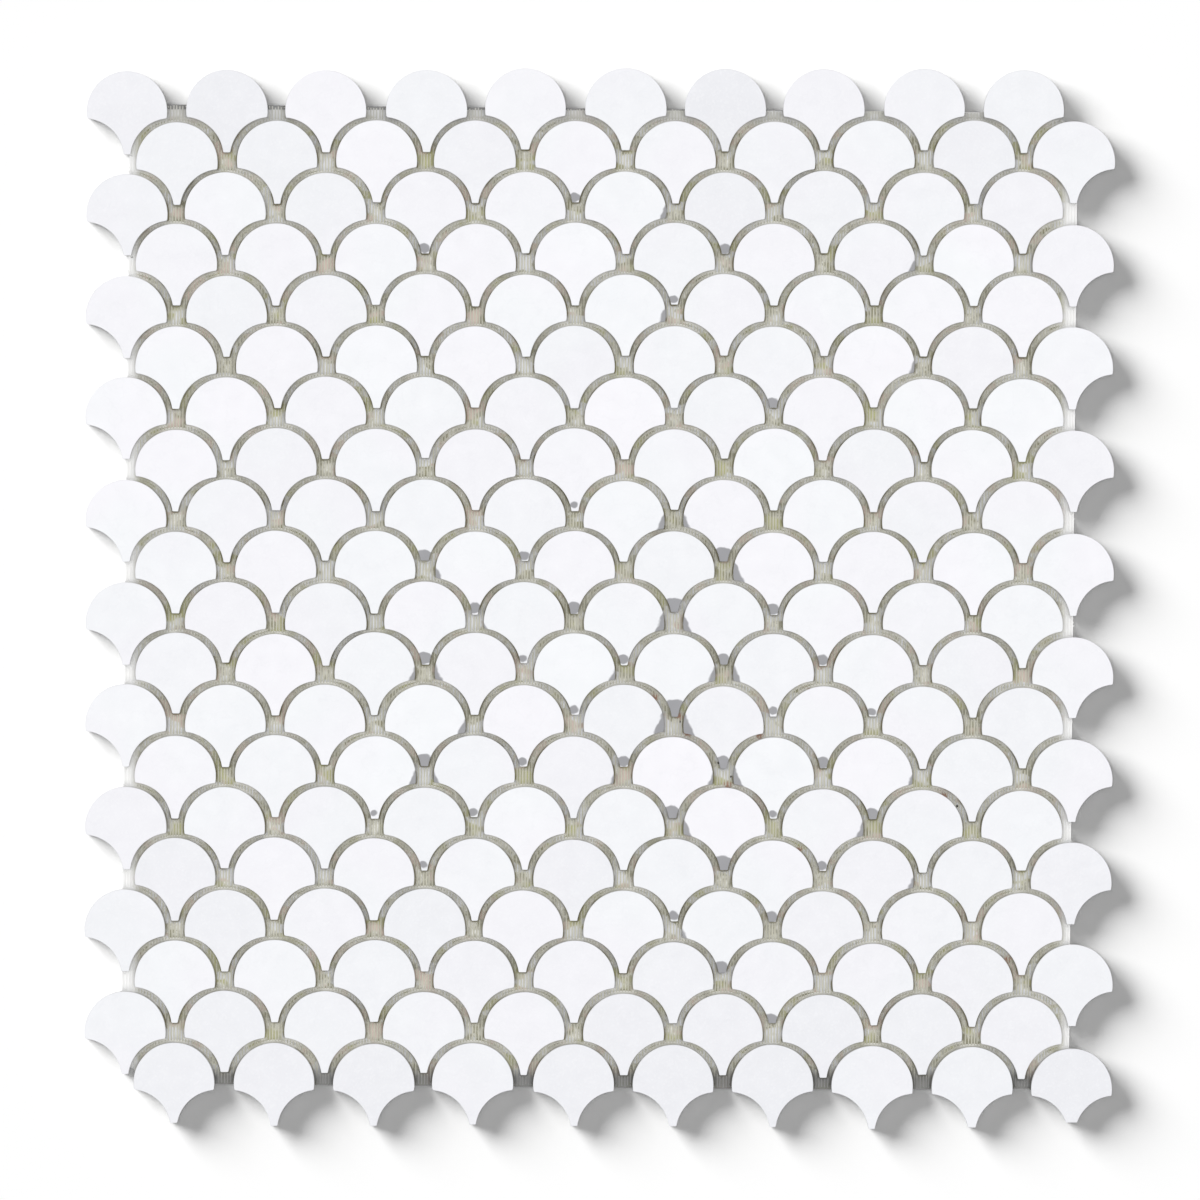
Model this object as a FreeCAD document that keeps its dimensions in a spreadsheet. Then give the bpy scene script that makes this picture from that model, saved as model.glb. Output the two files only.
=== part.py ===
import FreeCAD, Part
import Sketcher
import math
import os

# Mesh-mounted mosaic sheet of fan-shaped stone chips, lying face up.
# X runs along a course of chips, Y from the feet of the chips towards their crowns, Z up.
# The origin is the middle of the sheet's footprint, on the underside of the mesh.

doc = FreeCAD.newDocument("FishScaleMosaic")

# Driving sizes in millimetres and degrees, then the counts
sizes = doc.addObject("Spreadsheet::Sheet", "Sizes")
DRIVING_SIZES = [
    ("crown_radius", "12.2", "round crown, and the scallops that nest round the crowns below"),
    ("neck_width", "1.9", "narrowest stone that two scallops leave between them"),
    ("scallop_depth", "14.15", "from the crown's centre down to the level of the scallops' centres"),
    ("foot_depth", "12.5", "from the crown's centre down to the flat foot"),
    ("chip_thickness", "7.5", "stone"),
    ("joint_across", "1.85", "open joint between scallop and crown, along the course"),
    ("joint_along", "1.3", "open joint between scallop and crown, down the sheet"),
    ("mesh_thickness", "0.5", "woven mesh with its adhesive"),
    ("mesh_margin", "0.35", "mesh beyond the centres of the outermost chips"),
    ("mesh_turn", "0.4", "clockwise turn of the mesh under the chips, in degrees"),
    ("chips_per_course", "10", "chips side by side"),
    ("courses", "20", "courses down the sheet"),
    ("crown_sides", "10", "straight sides that stand for the arc of a crown"),
    ("scallop_sides", "4", "straight sides that stand for the arc of a scallop"),
]
for line, (alias, value, meaning) in enumerate(DRIVING_SIZES, start=1):
    sizes.set(f"A{line}", meaning)
    sizes.set(f"B{line}", value)
    sizes.setAlias(f"B{line}", alias)
doc.recompute()

# Sizes that follow from the driving ones, as expressions
SCALLOP_ACROSS = "(Sizes.crown_radius + Sizes.neck_width / 2)"
COLUMN_PITCH = f"(2 * ({SCALLOP_ACROSS} + Sizes.joint_across))"
COURSE_PITCH = "(Sizes.scallop_depth + Sizes.joint_along)"
COURSE_SPAN = f"({COLUMN_PITCH} * (Sizes.chips_per_course - 1 / 2))"

# How a sketch numbers the points of a curve, and its own origin and vertical axis
START, END, CENTRE = range(1, 4)
ORIGIN, VERTICAL_AXIS = range(-1, -3, -1)


def sketch_on_base(body, name):
    """Adds an empty sketch on the body's own XY plane."""
    sketch = body.newObject("Sketcher::SketchObject", name)
    base = next(plane for plane in body.Origin.OriginFeatures if plane.Role == "XY_Plane")
    sketch.AttachmentSupport = [(base, "")]
    sketch.MapMode = "FlatFace"
    return sketch


def drive(sketch, name, expression, constraint):
    """Adds a named constraint whose value follows an expression of the driving sizes."""
    index = sketch.addConstraint(constraint)
    sketch.renameConstraint(index, name)
    sketch.setExpression(f"Constraints.{name}", expression)


def draw_fan_arcs(sketch):
    """Construction arcs of the fan: the crown about the sketch's origin and a scallop on each side.

    The scallops have the crown's radius. They stand off the crowns that nest in them by the open joint alone,
    because the pitches are worked out from the same sizes. Crown and scallops meet in sharp shoulders.
    Returns the crown, the left and the right scallop, and the ends of the foot.
    """
    radius = sizes.crown_radius
    scallop_x = radius + sizes.neck_width / 2
    scallop_y = -sizes.scallop_depth
    foot_y = -sizes.foot_depth

    half_span = math.hypot(scallop_x, scallop_y) / 2
    reach = math.sqrt(radius**2 - half_span**2) / (2 * half_span)
    shoulder_x = scallop_x / 2 - scallop_y * reach
    shoulder_y = scallop_y / 2 + scallop_x * reach
    foot_x = scallop_x - math.sqrt(radius**2 - (foot_y - scallop_y) ** 2)

    def add_arc(centre_x, centre_y, first, last):
        circle = Part.Circle(FreeCAD.Vector(centre_x, centre_y, 0), FreeCAD.Vector(0, 0, 1), radius)
        angles = [math.atan2(y - centre_y, x - centre_x) for x, y in (first, last)]
        return sketch.addGeometry(Part.ArcOfCircle(circle, *angles), True)

    right_shoulder, left_shoulder = (shoulder_x, shoulder_y), (-shoulder_x, shoulder_y)
    right_foot, left_foot = (foot_x, foot_y), (-foot_x, foot_y)
    crown = add_arc(0, 0, right_shoulder, left_shoulder)
    left_scallop = add_arc(-scallop_x, scallop_y, left_foot, left_shoulder)
    right_scallop = add_arc(scallop_x, scallop_y, right_shoulder, right_foot)

    for constraint in (
        Sketcher.Constraint("Coincident", crown, CENTRE, ORIGIN, START),
        Sketcher.Constraint("Coincident", crown, START, right_scallop, START),
        Sketcher.Constraint("Coincident", crown, END, left_scallop, END),
        Sketcher.Constraint("Equal", crown, left_scallop),
        Sketcher.Constraint("Equal", crown, right_scallop),
        Sketcher.Constraint("Symmetric", left_scallop, CENTRE, right_scallop, CENTRE, VERTICAL_AXIS),
    ):
        sketch.addConstraint(constraint)
    drive(
        sketch, "crown_radius", "Sizes.crown_radius",
        Sketcher.Constraint("Radius", crown, radius),
    )
    drive(
        sketch, "scallop_across", SCALLOP_ACROSS,
        Sketcher.Constraint("DistanceX", ORIGIN, START, right_scallop, CENTRE, scallop_x),
    )
    drive(
        sketch, "scallop_depth", "Sizes.scallop_depth",
        Sketcher.Constraint("DistanceY", right_scallop, CENTRE, ORIGIN, START, -scallop_y),
    )
    return crown, left_scallop, right_scallop


def add_chords(sketch, arc, sides):
    """Adds equal chords from the start of a construction arc to its end."""
    curve = sketch.Geometry[arc]
    step = (curve.LastParameter - curve.FirstParameter) / sides
    corners = [curve.value(curve.FirstParameter + step * k) for k in range(sides + 1)]
    chords = [
        sketch.addGeometry(Part.LineSegment(corners[k], corners[k + 1]), False) for k in range(sides)
    ]
    sketch.addConstraint(Sketcher.Constraint("Coincident", chords[0], START, arc, START))
    sketch.addConstraint(Sketcher.Constraint("Coincident", chords[-1], END, arc, END))
    for before, after in zip(chords, chords[1:]):
        sketch.addConstraint(Sketcher.Constraint("Coincident", before, END, after, START))
        sketch.addConstraint(Sketcher.Constraint("PointOnObject", after, START, arc))
        sketch.addConstraint(Sketcher.Constraint("Equal", before, after))


def draw_chip_outline(sketch):
    """Closed outline of a fan: chords along the crown and both scallops, and the flat foot."""
    crown, left_scallop, right_scallop = draw_fan_arcs(sketch)
    left_foot = sketch.Geometry[left_scallop].StartPoint
    right_foot = sketch.Geometry[right_scallop].EndPoint
    foot = sketch.addGeometry(Part.LineSegment(left_foot, right_foot), False)
    sketch.addConstraint(Sketcher.Constraint("Coincident", foot, START, left_scallop, START))
    sketch.addConstraint(Sketcher.Constraint("Coincident", foot, END, right_scallop, END))
    sketch.addConstraint(Sketcher.Constraint("Horizontal", foot))
    drive(
        sketch, "foot_depth", "Sizes.foot_depth",
        Sketcher.Constraint("DistanceY", foot, END, ORIGIN, START, sizes.foot_depth),
    )
    add_chords(sketch, crown, int(sizes.crown_sides))
    for scallop in (left_scallop, right_scallop):
        add_chords(sketch, scallop, int(sizes.scallop_sides))


def make_course(number):
    """One course of chips, counted from the crown end of the sheet: a padded fan repeated along X."""
    body = doc.addObject("PartDesign::Body", f"Course{number:02d}")
    body.Label = f"tile_row_{number:02d}"
    body.AllowCompound = True

    outline = sketch_on_base(body, f"ChipOutline{number:02d}")
    draw_chip_outline(outline)
    chip = body.newObject("PartDesign::Pad", f"Chip{number:02d}")
    chip.Profile = outline
    chip.setExpression("Length", "Sizes.chip_thickness")

    row = body.newObject("PartDesign::LinearPattern", f"Row{number:02d}")
    row.Originals = [chip]
    row.Direction = (outline, ["H_Axis"])
    row.setExpression("Length", f"{COLUMN_PITCH} * (Sizes.chips_per_course - 1)")
    row.setExpression("Occurrences", "Sizes.chips_per_course")
    body.Tip = row

    # Every second course is shifted by half a chip
    shift = (number - 1) % 2
    body.setExpression("Placement.Base.x", f"({COLUMN_PITCH} * {shift} - {COURSE_SPAN}) / 2")
    # The sheet reaches from the crowns of the first course to the feet of the last
    body.setExpression(
        "Placement.Base.y",
        f"{COURSE_PITCH} * ((Sizes.courses + 1) / 2 - {number})"
        " + (Sizes.foot_depth - Sizes.crown_radius) / 2",
    )
    body.setExpression("Placement.Base.z", "Sizes.mesh_thickness")
    return body


def make_mesh_backing():
    """Rectangle of mesh that ends near the centres of the outermost chips, laid slightly askew under them."""
    body = doc.addObject("PartDesign::Body", "MeshBacking")
    body.Label = "mesh_backing"

    outline = sketch_on_base(body, "MeshOutline")
    corners = [FreeCAD.Vector(x, y, 0) for x, y in ((-1, -1), (1, -1), (1, 1), (-1, 1))]
    edges = [
        outline.addGeometry(Part.LineSegment(corners[k], corners[(k + 1) % 4]), False) for k in range(4)
    ]
    near, right, far, left = edges
    drawn_side = outline.Geometry[near].length()
    for before, after in zip(edges, edges[1:] + edges[:1]):
        outline.addConstraint(Sketcher.Constraint("Coincident", before, END, after, START))
    for edge in (near, far):
        outline.addConstraint(Sketcher.Constraint("Horizontal", edge))
    for edge in (right, left):
        outline.addConstraint(Sketcher.Constraint("Vertical", edge))
    outline.addConstraint(Sketcher.Constraint("Symmetric", near, START, far, START, ORIGIN, START))
    drive(
        outline, "mesh_width", f"{COURSE_SPAN} + 2 * Sizes.mesh_margin",
        Sketcher.Constraint("DistanceX", near, START, near, END, drawn_side),
    )
    drive(
        outline, "mesh_length", f"{COURSE_PITCH} * (Sizes.courses - 1) + 2 * Sizes.mesh_margin",
        Sketcher.Constraint("DistanceY", right, START, right, END, drawn_side),
    )

    pad = body.newObject("PartDesign::Pad", "MeshSheet")
    pad.Profile = outline
    pad.setExpression("Length", "Sizes.mesh_thickness")
    body.Tip = pad
    body.setExpression("Placement.Rotation.Angle", "-Sizes.mesh_turn * 1 deg")
    return body


def check_and_export(bodies):
    """Stops on any failed object or bad shape, and only then writes one STEP file for each sub-part."""
    doc.recompute()
    for item in doc.Objects:
        if "Invalid" in item.State or "Error" in item.State:
            raise RuntimeError(f"{item.Label} failed: {item.State}")
    for body in bodies:
        if body.Shape.isNull() or not body.Shape.isValid():
            raise RuntimeError(f"{body.Label} has no valid shape")
    os.makedirs("parts", exist_ok=True)
    for body in bodies:
        body.Shape.exportStep(f"parts/{body.Label}.step")


course_bodies = [make_course(number) for number in range(1, int(sizes.courses) + 1)]
check_and_export([make_mesh_backing(), *course_bodies])
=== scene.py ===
import math

import bpy
import numpy as np
from mathutils import Euler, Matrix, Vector


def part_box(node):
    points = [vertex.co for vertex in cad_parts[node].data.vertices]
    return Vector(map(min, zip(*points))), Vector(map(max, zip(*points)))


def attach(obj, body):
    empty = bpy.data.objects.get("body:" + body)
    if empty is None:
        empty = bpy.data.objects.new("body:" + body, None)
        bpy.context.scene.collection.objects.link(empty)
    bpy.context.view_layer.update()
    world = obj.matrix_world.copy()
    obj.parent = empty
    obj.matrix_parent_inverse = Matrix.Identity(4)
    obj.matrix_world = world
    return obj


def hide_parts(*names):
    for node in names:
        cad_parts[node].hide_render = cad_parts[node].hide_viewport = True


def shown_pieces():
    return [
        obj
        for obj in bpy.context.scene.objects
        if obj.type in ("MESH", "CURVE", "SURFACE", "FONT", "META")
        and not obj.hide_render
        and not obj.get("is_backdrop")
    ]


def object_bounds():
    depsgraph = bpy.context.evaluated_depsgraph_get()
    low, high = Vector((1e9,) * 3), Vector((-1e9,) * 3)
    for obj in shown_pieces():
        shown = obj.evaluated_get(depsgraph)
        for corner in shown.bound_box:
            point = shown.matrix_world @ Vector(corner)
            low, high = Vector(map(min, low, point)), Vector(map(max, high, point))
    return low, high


# Mosaic sheet of white marble fans on a woven mesh, lying face up and seen from straight above.
# Lengths are in metres. X runs along a course, Y towards the crowns, Z up.

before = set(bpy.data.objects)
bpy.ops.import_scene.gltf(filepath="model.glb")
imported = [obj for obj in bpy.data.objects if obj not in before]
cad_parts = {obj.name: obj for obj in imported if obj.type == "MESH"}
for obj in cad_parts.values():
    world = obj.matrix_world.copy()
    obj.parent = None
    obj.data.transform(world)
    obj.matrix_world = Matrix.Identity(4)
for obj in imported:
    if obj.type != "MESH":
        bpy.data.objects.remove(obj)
cad_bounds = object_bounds()

MM = 0.001
SEED = 1260

# The fans and how they are laid, as in the part
CROWN_RADIUS = 12.2 * MM
NECK_WIDTH = 1.9 * MM
SCALLOP_DEPTH = 14.15 * MM
FOOT_DEPTH = 12.5 * MM
JOINT_ACROSS = 1.85 * MM
JOINT_ALONG = 1.3 * MM
CHIPS_PER_COURSE = 10
COURSES = 20
SCALLOP_ACROSS = CROWN_RADIUS + NECK_WIDTH / 2
COLUMN_PITCH = 2 * (SCALLOP_ACROSS + JOINT_ACROSS)
COURSE_PITCH = SCALLOP_DEPTH + JOINT_ALONG
COURSE_SPAN = COLUMN_PITCH * (CHIPS_PER_COURSE - 0.5)

# How far real fans stray from the drawing
HAND_LAID = {
    "shift": 0.14 * MM,
    "turn": math.radians(0.45),
    "tilt": 0.0025,
    "crown": 0.06 * MM,
    "neck": 0.16 * MM,
    "foot": 0.22 * MM,
    "waver": 0.04 * MM,
}
WAVER_ORDERS = range(2, 14)

# Rounded corners and the eased upper edge of a fan, and how much they vary
SHOULDER_ROUNDING = 0.45 * MM
FOOT_ROUNDING = 0.32 * MM
ROUNDING_RANGE = (0.8, 1.4)
ARRIS = 0.14 * MM
ARRIS_WAVER = 0.5
ARRIS_RANGE = (0.5, 1.3)

# How finely a fan is divided, how many of its rings are sawn side, and the ring inside its upper edge
OUTLINE_STEPS = {"foot": 2, "foot_corner": 4, "scallop": 20, "shoulder": 6, "crown": 40}
ARRIS_STEPS = 2
SAWN_RINGS = 3
FACE_BORDER = 0.04 * MM

# The courses sag a little at their ends, and more to the lower right
COURSE_BOW = 0.41 * MM
SHEET_TWIST = 0.52 * MM

# Duller courses, duller single fans by course and place, and how much duller
DULL_COURSES = {1: 0.4, 2: 0.3, 3: 0.3, 16: 0.5, 17: 0.5, 18: 0.5, 19: 0.75, 20: 1.05}
DULL_FANS = {(1, 2), (1, 7), (2, 9), (3, 7), (17, 2)}
DULL_FAN = 0.8

# Feet that broke off short, by course and place
SHORT_FEET = {(20, 10): 2.1 * MM}

# Painted shadow on the corners of the fans, as grey patches: how large, by course and then by place
SHADOW_PATCHES = {
    "foot": {
        2: {5: 1}, 3: {4: 1, 7: 1}, 4: {6: 1}, 6: {7: 1}, 8: {5: 1}, 9: {4: 1.2, 5: 1.2, 7: 1.6},
        10: {4: 1, 5: 1.2, 6: 1.65, 7: 1.3}, 11: {4: 1.5, 5: 0.8, 6: 1, 7: 1.45, 8: 1},
        12: {5: 0.8, 6: 1.75, 7: 1, 8: 1}, 13: {4: 1.4, 5: 0.85, 6: 1, 7: 1.2, 8: 1},
        14: {3: 1, 4: 1, 6: 1.2, 7: 1, 8: 1}, 15: {4: 1, 7: 1.8, 8: 1}, 16: {6: 1, 7: 1},
        17: {7: 1.6}, 18: {7: 1.4},
    },
    "left": {
        9: {7: 1.3}, 10: {4: 1, 7: 1.3}, 11: {5: 1, 7: 1.5}, 12: {4: 1, 7: 1.5}, 13: {7: 1.3},
        14: {4: 1, 7: 1.3}, 15: {7: 1.3}, 17: {7: 1},
    },
    "right": {
        3: {6: 1}, 4: {8: 1}, 5: {6: 1}, 6: {8: 1}, 9: {6: 1.4}, 11: {6: 1.25},
        12: {3: 1, 5: 1, 6: 1.4}, 13: {4: 1.2, 6: 1.3}, 14: {3: 1, 5: 1, 6: 1.2, 8: 1.1},
        15: {8: 1}, 16: {8: 1},
    },
}

# Where on a fan the middle of each painted shadow patch lies, how far one of size 1 reaches, and how much
# sizes vary
SHADOW_PATCH_CORNERS = {
    "foot": (-0.3 * MM, -10.9 * MM),
    "left": (-12.2 * MM, -2.6 * MM),
    "right": (12.2 * MM, -2.6 * MM),
}
SHADOW_PATCH_REACH = {
    "foot": (2.1 * MM, 1.7 * MM),
    "left": (2.4 * MM, 5.4 * MM),
    "right": (2.4 * MM, 5.4 * MM),
}
SHADOW_PATCH_MEAN = 0.88
SHADOW_PATCH_VARIATION = 0.2
SHADOW_PATCH_GROWTH = 1.4
SHADOW_PATCH_RAGGED = 0.6
SHADOW_PATCH_EDGE = 0.3

# The woven mesh and the adhesive that fills it
MESH_MARGIN = 0.35 * MM
MESH_WIDTH = COURSE_SPAN + 2 * MESH_MARGIN
MESH_LENGTH = COURSE_PITCH * (COURSES - 1) + 2 * MESH_MARGIN
MESH_TURN = math.radians(-0.4)
WARP_PITCH = 0.9 * MM
WEFT_PITCH = 1.2 * MM
FILM_BOTTOM = 0.14 * MM
FILM_TOP = 0.38 * MM
PAD_BOTTOM = 0.08 * MM
PAD_INSET = 0.3 * MM

# Yarns: their section, how many sides and stations they have, and how far they wander and fray
YARN_WIDTH = 0.42 * MM
YARN_HEIGHT = 0.24 * MM
YARN_SIDES = 6
YARN_STATIONS = 13
YARN_WANDER = 0.06
FRAYED = 0.15 * MM

# How the mesh was cut: beyond its upper and lower end, askew at the lower right, and two corners off
UPPER_CUT = 0.35 * MM
LOWER_CUT = 0.3 * MM
SKEW_CUT = 1.6 * MM
SKEW_POWER = 4
SKEW_STEPS = 25
LOWER_LEFT = (-1, -1)
UPPER_RIGHT = (1, 1)
CORNER_CUTS = {LOWER_LEFT: 7.8 * MM, UPPER_RIGHT: 6.6 * MM}

# Adhesive that wells up where it meets the stone. Its section is a closed ring of points:
# how far out from the stone, how high, and how much painted shade it takes
BEAD_WIDTH = 0.95 * MM
BEAD_RISE = 1.1 * MM
BEAD_TUCK = 0.15 * MM
BEAD_SECTION = [
    (-BEAD_TUCK, FILM_BOTTOM + 0.06 * MM, 0.0),
    (BEAD_WIDTH, FILM_TOP - 0.03 * MM, 0.0),
    (0.5 * BEAD_WIDTH, FILM_TOP + 0.10 * BEAD_RISE, 0.25),
    (0.15 * BEAD_WIDTH, FILM_TOP + 0.40 * BEAD_RISE, 0.9),
    (-BEAD_TUCK, FILM_TOP + BEAD_RISE, 1.0),
]
BEAD_RISE_WAVER = 0.2

# Beyond the mesh a bead shrinks to this part of its size, at this inset and height inside the stone
HIDDEN_SHRINK = 9
HIDDEN_INSET = 2 * BEAD_TUCK
HIDDEN_HEIGHT = 1.5 * BEAD_RISE

# Beads and bonding prints follow every second point of a fan's outline
PRINT_STRIDE = 2

# How much painted shade the beads take along the stone, and how pale they are. The foot itself isn't pale
WALL_SHADE_MEAN = 0.95
WALL_SHADE_WAVER = 0.5
WALL_SHADE_RANGE = (0.1, 1.5)
PALE_MIN = 0.05
PALE_SHARE = 0.95
FOOT_ZONE = 1.0 * MM

# Angles in degrees over which an edge is shaded as a corner
STONE_CORNER = 40
BEAD_CORNER = 80
YARN_CORNER = 70

# The picture: 1200 pixels show this width at the height of the stone's faces
PHOTO_WIDTH = 361.3 * MM
LENS = 800.0
SENSOR = 36.0
VIEW_CENTRE = (0.22 * MM, -0.62 * MM)
VIEW_ROLL = math.radians(0.14)
VIEW_REACH = 100.0

# Floor: half its side, and how far it lies below the mesh
FLOOR_HALF = 6.0
FLOOR_DROP = 0.05 * MM

# Light on a level white face adds up to 1: an even sky, and one soft lamp for the sheet and one for the floor
EVEN_LIGHT = 0.33
SOFTBOX_WIDTH = 36
SHADOW_RISE = 31
SHADOW_BEARING = 145
SHADOW_SOFTNESS = 38

# Colours of the stone, the size of what they colour, and how strongly they show
CLOUD_COLOURS = ((0.835, 0.852, 0.880), (0.885, 0.895, 0.915))
CLOUD_SIZE = 14 * MM
LILAC_COLOUR = (0.876, 0.858, 0.905)
LILAC_SIZE = 45 * MM
LILAC_SHARE = 0.7
DULL_COLOUR = (0.775, 0.780, 0.815)
DULL_SHARE = 0.5
VEIN_COLOUR = (0.70, 0.71, 0.75)
VEIN_SPACING = 15 * MM
VEIN_WIDTH = 0.018
VEIN_SHARE = 0.10
# Crystal grain, painted lighter, which also stands for painted glints
CRYSTAL_GLINT_COLOUR = (0.89, 0.895, 0.915)
CRYSTAL_SIZE = 0.6 * MM
CRYSTAL_GLINT_SHARE = 0.25
SAWN_COLOURS = ((0.70, 0.70, 0.69), (0.86, 0.86, 0.86))
SAW_MARKS = 1.6 * MM
SAW_MARK_STRETCH = (1, 1, 9)
# Painted shadow on the corners of the fans: its grey, its grain, its share, and how much the sawn sides lose
PAINTED_SHADOW_COLOUR = (0.24, 0.24, 0.255)
SHADOW_PATCH_GRAIN = 2.2 * MM
SHADOW_PATCH_SHARE = 0.95
SHADOW_PATCH_LOST_ON_SIDES = 0.8
POLISH = 0.42
POLISH_VARIATION = 0.14
POLISH_SIZE = 5 * MM
SAWN_ROUGHER = 0.25
STONE_RELIEF = 0.02 * MM
MARBLE_IOR = 1.48

# Colours of the adhesive in the mesh
KHAKI_COLOURS = ((0.25, 0.24, 0.155), (0.66, 0.65, 0.605))
KHAKI_SIZE = 5 * MM
AGED_COLOUR = (0.37, 0.35, 0.24)
AGED_PLACE = (-32 * MM, 2 * MM)
AGED_REACH = (40 * MM, 95 * MM)
AGED_GRAIN = 20 * MM
AGED_RAGGED = 40 * MM
AGED_SHARE = 0.45
MOTTLE_DARK = (0.20, 0.19, 0.11)
MOTTLE_LIGHT = (0.82, 0.82, 0.79)
MOTTLE_SIZE = 2.2 * MM
MOTTLE_STRETCH = (1, 0.6, 1)
MOTTLE_SHARE = 0.5
PATCH_STRETCH = (1, 1.3, 1)
PATCH_SHARE = 0.95
THREAD_COLOUR = (0.34, 0.33, 0.28)
THREAD_SIZE = 0.7 * MM
THREAD_STRETCH = (1, 0.12, 1)
THREAD_SHARE = 0.45
BLOTCH_SIZE = 5 * MM
BEAD_PALE_COLOUR = (0.84, 0.83, 0.78)
BLOTCHED_PALE = 0.4
# Painted shade along the stone: its colour, and how much of it is left between the blotches
BEAD_PAINTED_SHADE_COLOUR = (0.20, 0.18, 0.11)
WALL_SHADE_BETWEEN_BLOTCHES = 0.25
ADHESIVE_RELIEF = 0.1 * MM
ADHESIVE_GRAIN = 0.8 * MM

# Patches in the adhesive: size, the values of a noise between which they fade in, and colour
PATCHES = [
    (9 * MM, 0.52, 0.60, (0.57, 0.46, 0.405)),
    (11 * MM, 0.53, 0.62, (0.40, 0.40, 0.20)),
    (8 * MM, 0.50, 0.57, (0.66, 0.67, 0.70)),
]

# Rust and grit in the joints: place on the sheet, and size
RUST_COLOUR = (0.38, 0.23, 0.17)
RUST = [
    (24.2 * MM, -35.6 * MM, 1.6 * MM),
    (48.4 * MM, -41.3 * MM, 1.6 * MM),
    (63.5 * MM, -27.8 * MM, 1.4 * MM),
    (104.1 * MM, -59.4 * MM, 1.8 * MM),
    (-51.0 * MM, -145.2 * MM, 1.6 * MM),
    (-99.1 * MM, 141.5 * MM, 1.6 * MM),
    (16.8 * MM, -29.8 * MM, 2.0 * MM),
    (26.7 * MM, -40.7 * MM, 1.8 * MM),
    (38.8 * MM, -56.3 * MM, 1.8 * MM),
    (123.3 * MM, -108.6 * MM, 1.8 * MM),
    (60.5 * MM, -75.6 * MM, 1.5 * MM),
]
GRIT_COLOUR = (0.03, 0.025, 0.02)
GRIT = [
    (24.5 * MM, -37.3 * MM, 0.6 * MM),
    (36.0 * MM, -49.6 * MM, 0.7 * MM),
    (39.8 * MM, -53.8 * MM, 0.5 * MM),
    (108.0 * MM, -62.5 * MM, 0.75 * MM),
]
BLOT_EDGE = (0.75, 1.35)

# Colours of the mesh near its cut edges: which edge, how far in they fade out, how strong, and colour
ADHESIVE_EDGES = [
    ("side", 1.8 * MM, 5 * MM, 0.95, (0.88, 0.88, 0.88)),
    ("upper", 1.2 * MM, 6 * MM, 0.75, (0.50, 0.50, 0.50)),
    # Painted shade along the lower cut end
    ("lower", 2.2 * MM, 7 * MM, 0.9, (0.115, 0.115, 0.11)),
    ("upper", 0.0, 0.35 * MM, 0.85, (0.12, 0.12, 0.12)),
]
YARN_EDGES = [
    ("side", 1.8 * MM, 5 * MM, 0.9, (0.86, 0.86, 0.86)),
    ("upper", 1.0 * MM, 6 * MM, 0.6, (0.38, 0.38, 0.38)),
    # Painted shade along the lower cut end
    ("lower", 2.0 * MM, 6 * MM, 0.85, (0.17, 0.17, 0.18)),
]

# Colours of the yarns and of the bonding prints under the fans
YARN_COLOURS = ((0.47, 0.46, 0.36), (0.65, 0.64, 0.56))
YARN_CLOUDS = 3 * MM
YARN_GRAIN = 0.3 * MM
YARN_RELIEF = 0.05 * MM
PAD_COLOURS = ((0.55, 0.54, 0.45), (0.74, 0.735, 0.68))
PAD_CLOUDS = 8 * MM
PAD_WEAVE_COLOUR = (0.86, 0.86, 0.83)
PAD_WEAVE_SHARE = 0.6
PAD_RELIEF = 0.08 * MM

# Length of one band of Blender's wave texture at a scale of 1
WAVE_BAND = math.pi / 10

# Sockets of the Mix node that are used for colours
MIX_FACTOR, MIX_FIRST, MIX_SECOND, MIX_RESULT = 0, 6, 7, 2


def add_node(tree, kind, inputs=None, **settings):
    """Adds a node, sets its properties, and links or sets its inputs by name or number."""
    node = tree.nodes.new(kind)
    for name, value in settings.items():
        setattr(node, name, value)
    for key, value in (inputs or {}).items():
        if isinstance(value, bpy.types.NodeSocket):
            tree.links.new(value, node.inputs[key])
        else:
            node.inputs[key].default_value = value
    return node


def new_material(name):
    """A node material: its tree and its Principled shader, ready to be wired."""
    material = bpy.data.materials.new(name)
    material.use_nodes = True
    return material, material.node_tree, material.node_tree.nodes["Principled BSDF"]


def attribute(tree, name, output="Fac"):
    """A value or vector that the mesh carries."""
    return add_node(tree, "ShaderNodeAttribute", attribute_name=name).outputs[output]


def own_place(tree):
    """The point of the piece in the object's own frame."""
    return add_node(tree, "ShaderNodeTexCoord").outputs["Object"]


def math_node(tree, operation, first, second=0.5):
    """The result of an operation on one or two values or sockets."""
    return add_node(tree, "ShaderNodeMath", {0: first, 1: second}, operation=operation).outputs[0]


def vector_node(tree, operation, first, second=(0.0, 0.0, 0.0), output="Vector"):
    """The result of an operation on one or two vectors or sockets."""
    node = add_node(tree, "ShaderNodeVectorMath", {0: first, 1: second}, operation=operation)
    return node.outputs[output]


def stretched(tree, vector, factors):
    """A vector with each axis multiplied by a factor."""
    return vector_node(tree, "MULTIPLY", vector, factors)


def flat(tree, place):
    """A place on the sheet without its height."""
    return stretched(tree, place, (1, 1, 0))


def noise(tree, vector, feature, detail=2.0, roughness=0.5):
    """Noise whose features are about as long as given, from 0 to 1."""
    return add_node(
        tree, "ShaderNodeTexNoise",
        {"Vector": vector, "Scale": 1 / feature, "Detail": detail, "Roughness": roughness},
    ).outputs["Fac"]


def step(tree, value, low, high):
    """Runs smoothly from 0 at low to 1 at high."""
    return add_node(
        tree, "ShaderNodeMapRange",
        {"Value": value, "From Min": low, "From Max": high},
        interpolation_type="SMOOTHSTEP",
    ).outputs["Result"]


def below(tree, value, low, high):
    """Runs smoothly from 1 at low to 0 at high."""
    return math_node(tree, "SUBTRACT", 1.0, step(tree, value, low, high))


def scaled(tree, value, factor):
    """A value times a factor."""
    return math_node(tree, "MULTIPLY", value, factor)


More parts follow.
